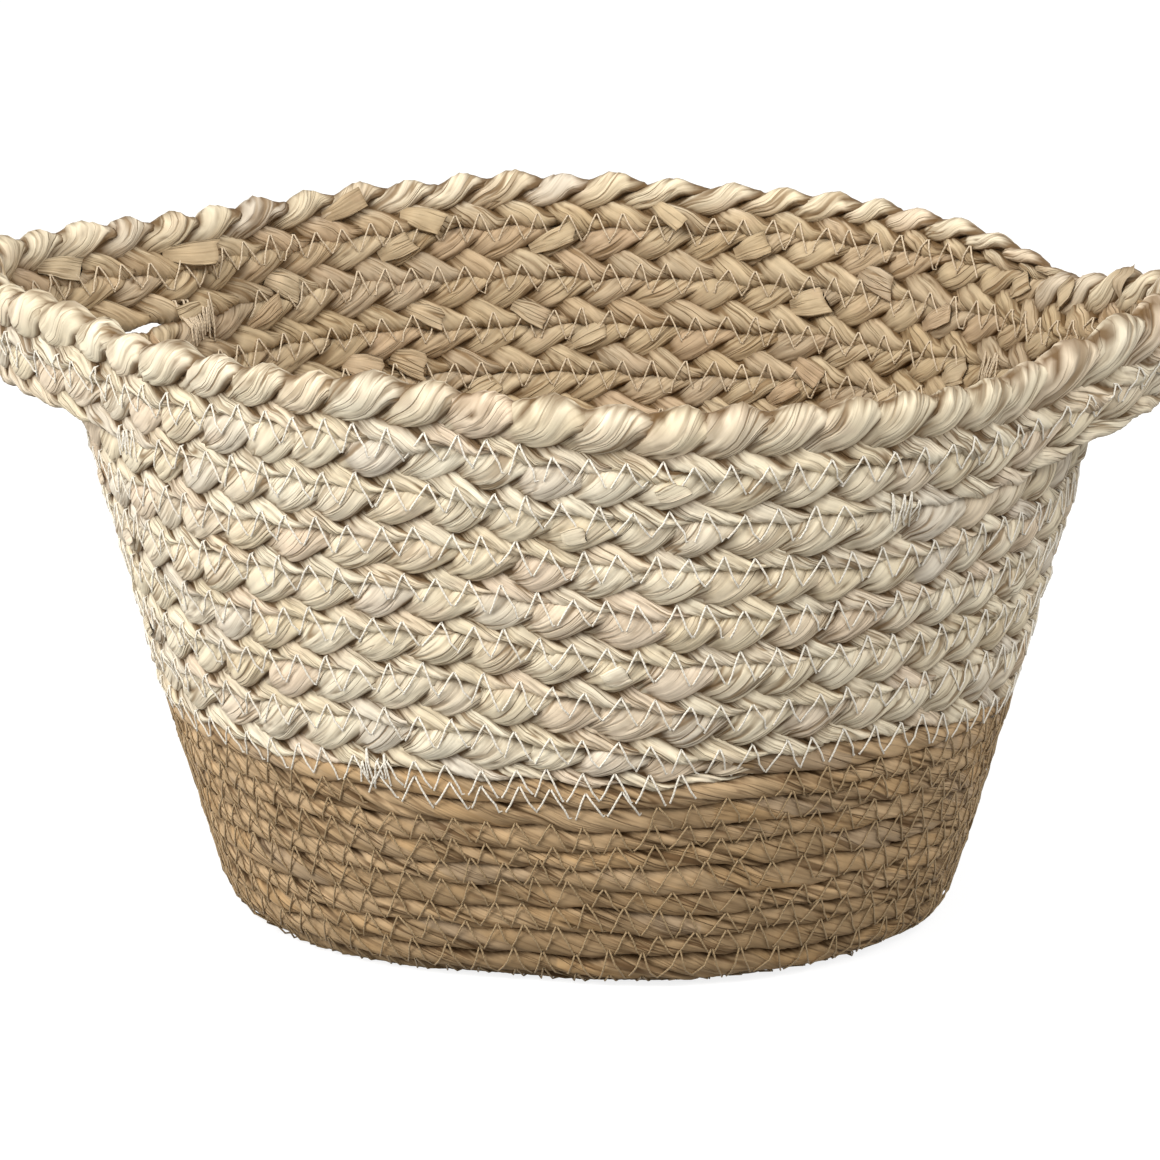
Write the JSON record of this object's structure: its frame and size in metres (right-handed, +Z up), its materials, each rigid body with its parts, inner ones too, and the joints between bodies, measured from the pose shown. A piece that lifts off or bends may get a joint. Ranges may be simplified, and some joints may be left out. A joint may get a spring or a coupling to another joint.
{
  "type": "basket",
  "caption": "oval coiled basket with a sewn rope floor and lower wall, a braided upper wall and rim, and two integral ear handles",
  "frame": {"origin": "on the floor, under the middle of the basket's outside", "axes": "+Z up, X through both ears (the longest way), Y across, with the pictured front on -Y"},
  "size_m": [0.341, 0.265, 0.1816],
  "materials": {
    "tan_rope": "twisted corn husk rope, tan, dull and fibrous",
    "cream_braid": "braided bleached corn husk, cream, dull with a faint silky sheen",
    "tan_thread": "fine twisted sewing thread, tan",
    "cream_thread": "fine twisted sewing thread, cream"
  },
  "bodies": {
    "root": {"base_coil": "tan_rope", "lower_wall_coil": "tan_rope", "upper_wall_braid": "cream_braid", "rim_braid": "cream_braid", "floor_thread": "tan_thread", "lower_wall_thread": "tan_thread", "upper_wall_thread": "cream_thread", "front_handle_thread": "cream_thread", "rim_thread": "cream_thread", "right_back_tack": "cream_thread", "right_front_tack": "cream_thread", "left_front_tack": "cream_thread", "left_back_tack": "cream_thread"}
  },
  "joints": []
}
